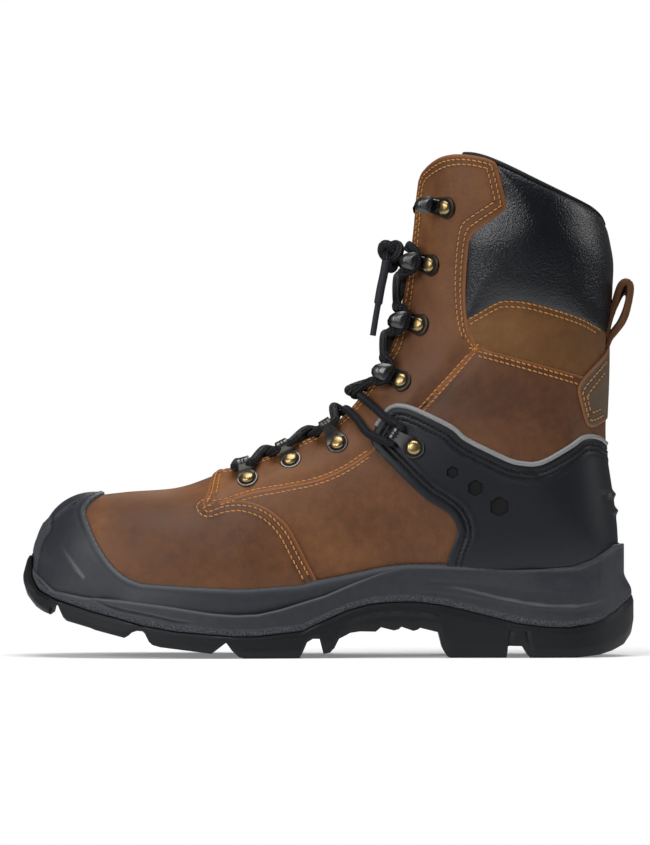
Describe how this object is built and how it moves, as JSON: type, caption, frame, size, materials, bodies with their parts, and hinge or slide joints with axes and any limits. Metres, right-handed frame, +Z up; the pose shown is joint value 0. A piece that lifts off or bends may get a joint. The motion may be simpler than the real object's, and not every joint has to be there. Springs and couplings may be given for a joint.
{
  "type": "work boot",
  "caption": "Insulated lace-up work boot, left foot: leather upper with padded collar, moulded heel counter, toe guard and a lugged rubber sole.",
  "frame": {"origin": "middle of the bounding box, on the floor under the sole", "axes": "+X towards the heel, so the toe points along -X; +Y towards the inner side of the left foot; +Z up"},
  "size_m": [0.3108, 0.1111, 0.2576],
  "materials": {
    "outsole": "matt black rubber",
    "midsole": "dark grey foam, matt and finely stippled",
    "insole": "dark felt",
    "tongue": "black textile",
    "upper": "oiled brown leather, lined",
    "leather": "oiled brown leather",
    "ankle_leather": "lighter oiled leather",
    "collar": "soft black grained leather, padded",
    "counter": "moulded black rubber",
    "piping": "light grey reflective piping",
    "webbing": "black webbing",
    "hook": "dark plated steel",
    "loop": "plated steel",
    "rivet": "antique brass",
    "lace": "black round braid"
  },
  "bodies": {
    "root": {"outsole": "outsole", "midsole": "midsole", "insole": "insole", "tongue": "tongue", "upper": "upper", "vamp": "leather", "facing_outer": "leather", "facing_inner": "leather", "ankle_panel": "ankle_leather", "collar_pad": "collar", "heel_counter": "counter", "counter_piping": "piping", "heel_patch": "leather", "pull_loop": "webbing", "hook_outer_1": "hook", "hook_outer_2": "hook", "hook_outer_3": "hook", "hook_outer_4": "hook", "hook_inner_1": "hook", "hook_inner_2": "hook", "hook_inner_3": "hook", "hook_inner_4": "hook", "loop_outer_1": "loop", "loop_outer_2": "loop", "loop_outer_3": "loop", "loop_outer_4": "loop", "loop_inner_1": "loop", "loop_inner_2": "loop", "loop_inner_3": "loop", "loop_inner_4": "loop", "rivet_outer_1": "rivet", "rivet_outer_2": "rivet", "rivet_outer_3": "rivet", "rivet_outer_4": "rivet", "rivet_outer_5": "rivet", "rivet_outer_6": "rivet", "rivet_outer_7": "rivet", "rivet_outer_8": "rivet", "rivet_inner_1": "rivet", "rivet_inner_2": "rivet", "rivet_inner_3": "rivet", "rivet_inner_4": "rivet", "rivet_inner_5": "rivet", "rivet_inner_6": "rivet", "rivet_inner_7": "rivet", "rivet_inner_8": "rivet", "lace_1": "lace", "lace_2": "lace", "lace_3": "lace", "lace_4": "lace", "lace_5": "lace", "lace_6": "lace", "lace_7": "lace", "lace_knot": "lace", "lace_end": "lace"}
  },
  "joints": []
}
